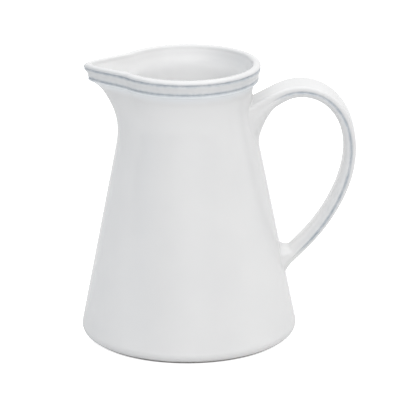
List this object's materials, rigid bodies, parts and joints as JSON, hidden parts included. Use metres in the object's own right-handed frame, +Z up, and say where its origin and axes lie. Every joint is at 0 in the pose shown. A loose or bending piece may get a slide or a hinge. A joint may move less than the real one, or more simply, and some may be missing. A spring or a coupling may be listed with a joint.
{
  "type": "pitcher",
  "caption": "White glazed ceramic pitcher: tapered body, open mouth with a pulled V spout, a rim band edged by blue-grey grooves, and an open strap handle.",
  "frame": {"origin": "on the table, below the middle of the overall length, which runs from the widest circle of the body to the handle's outer face; the body's own axis is at x = -0.0214 m", "axes": "+X from the body towards the handle and -X towards the spout, +Y across the pitcher, +Z up along the body's axis"},
  "size_m": [0.1966, 0.1538, 0.2],
  "materials": {
    "white_glaze": "glossy cool white glaze over pale stoneware",
    "tinted_glaze": "glossy cool white glaze that pools blue-grey in the grooves",
    "bare_clay": "unglazed pale stoneware, dry and matt"
  },
  "bodies": {
    "root": {"body_wall": "white_glaze", "floor_disc": "white_glaze", "foot_ring": "bare_clay", "rim_band": "tinted_glaze", "handle_strap": "tinted_glaze", "upper_slip_joint": "white_glaze", "lower_slip_joint": "white_glaze"}
  },
  "joints": []
}
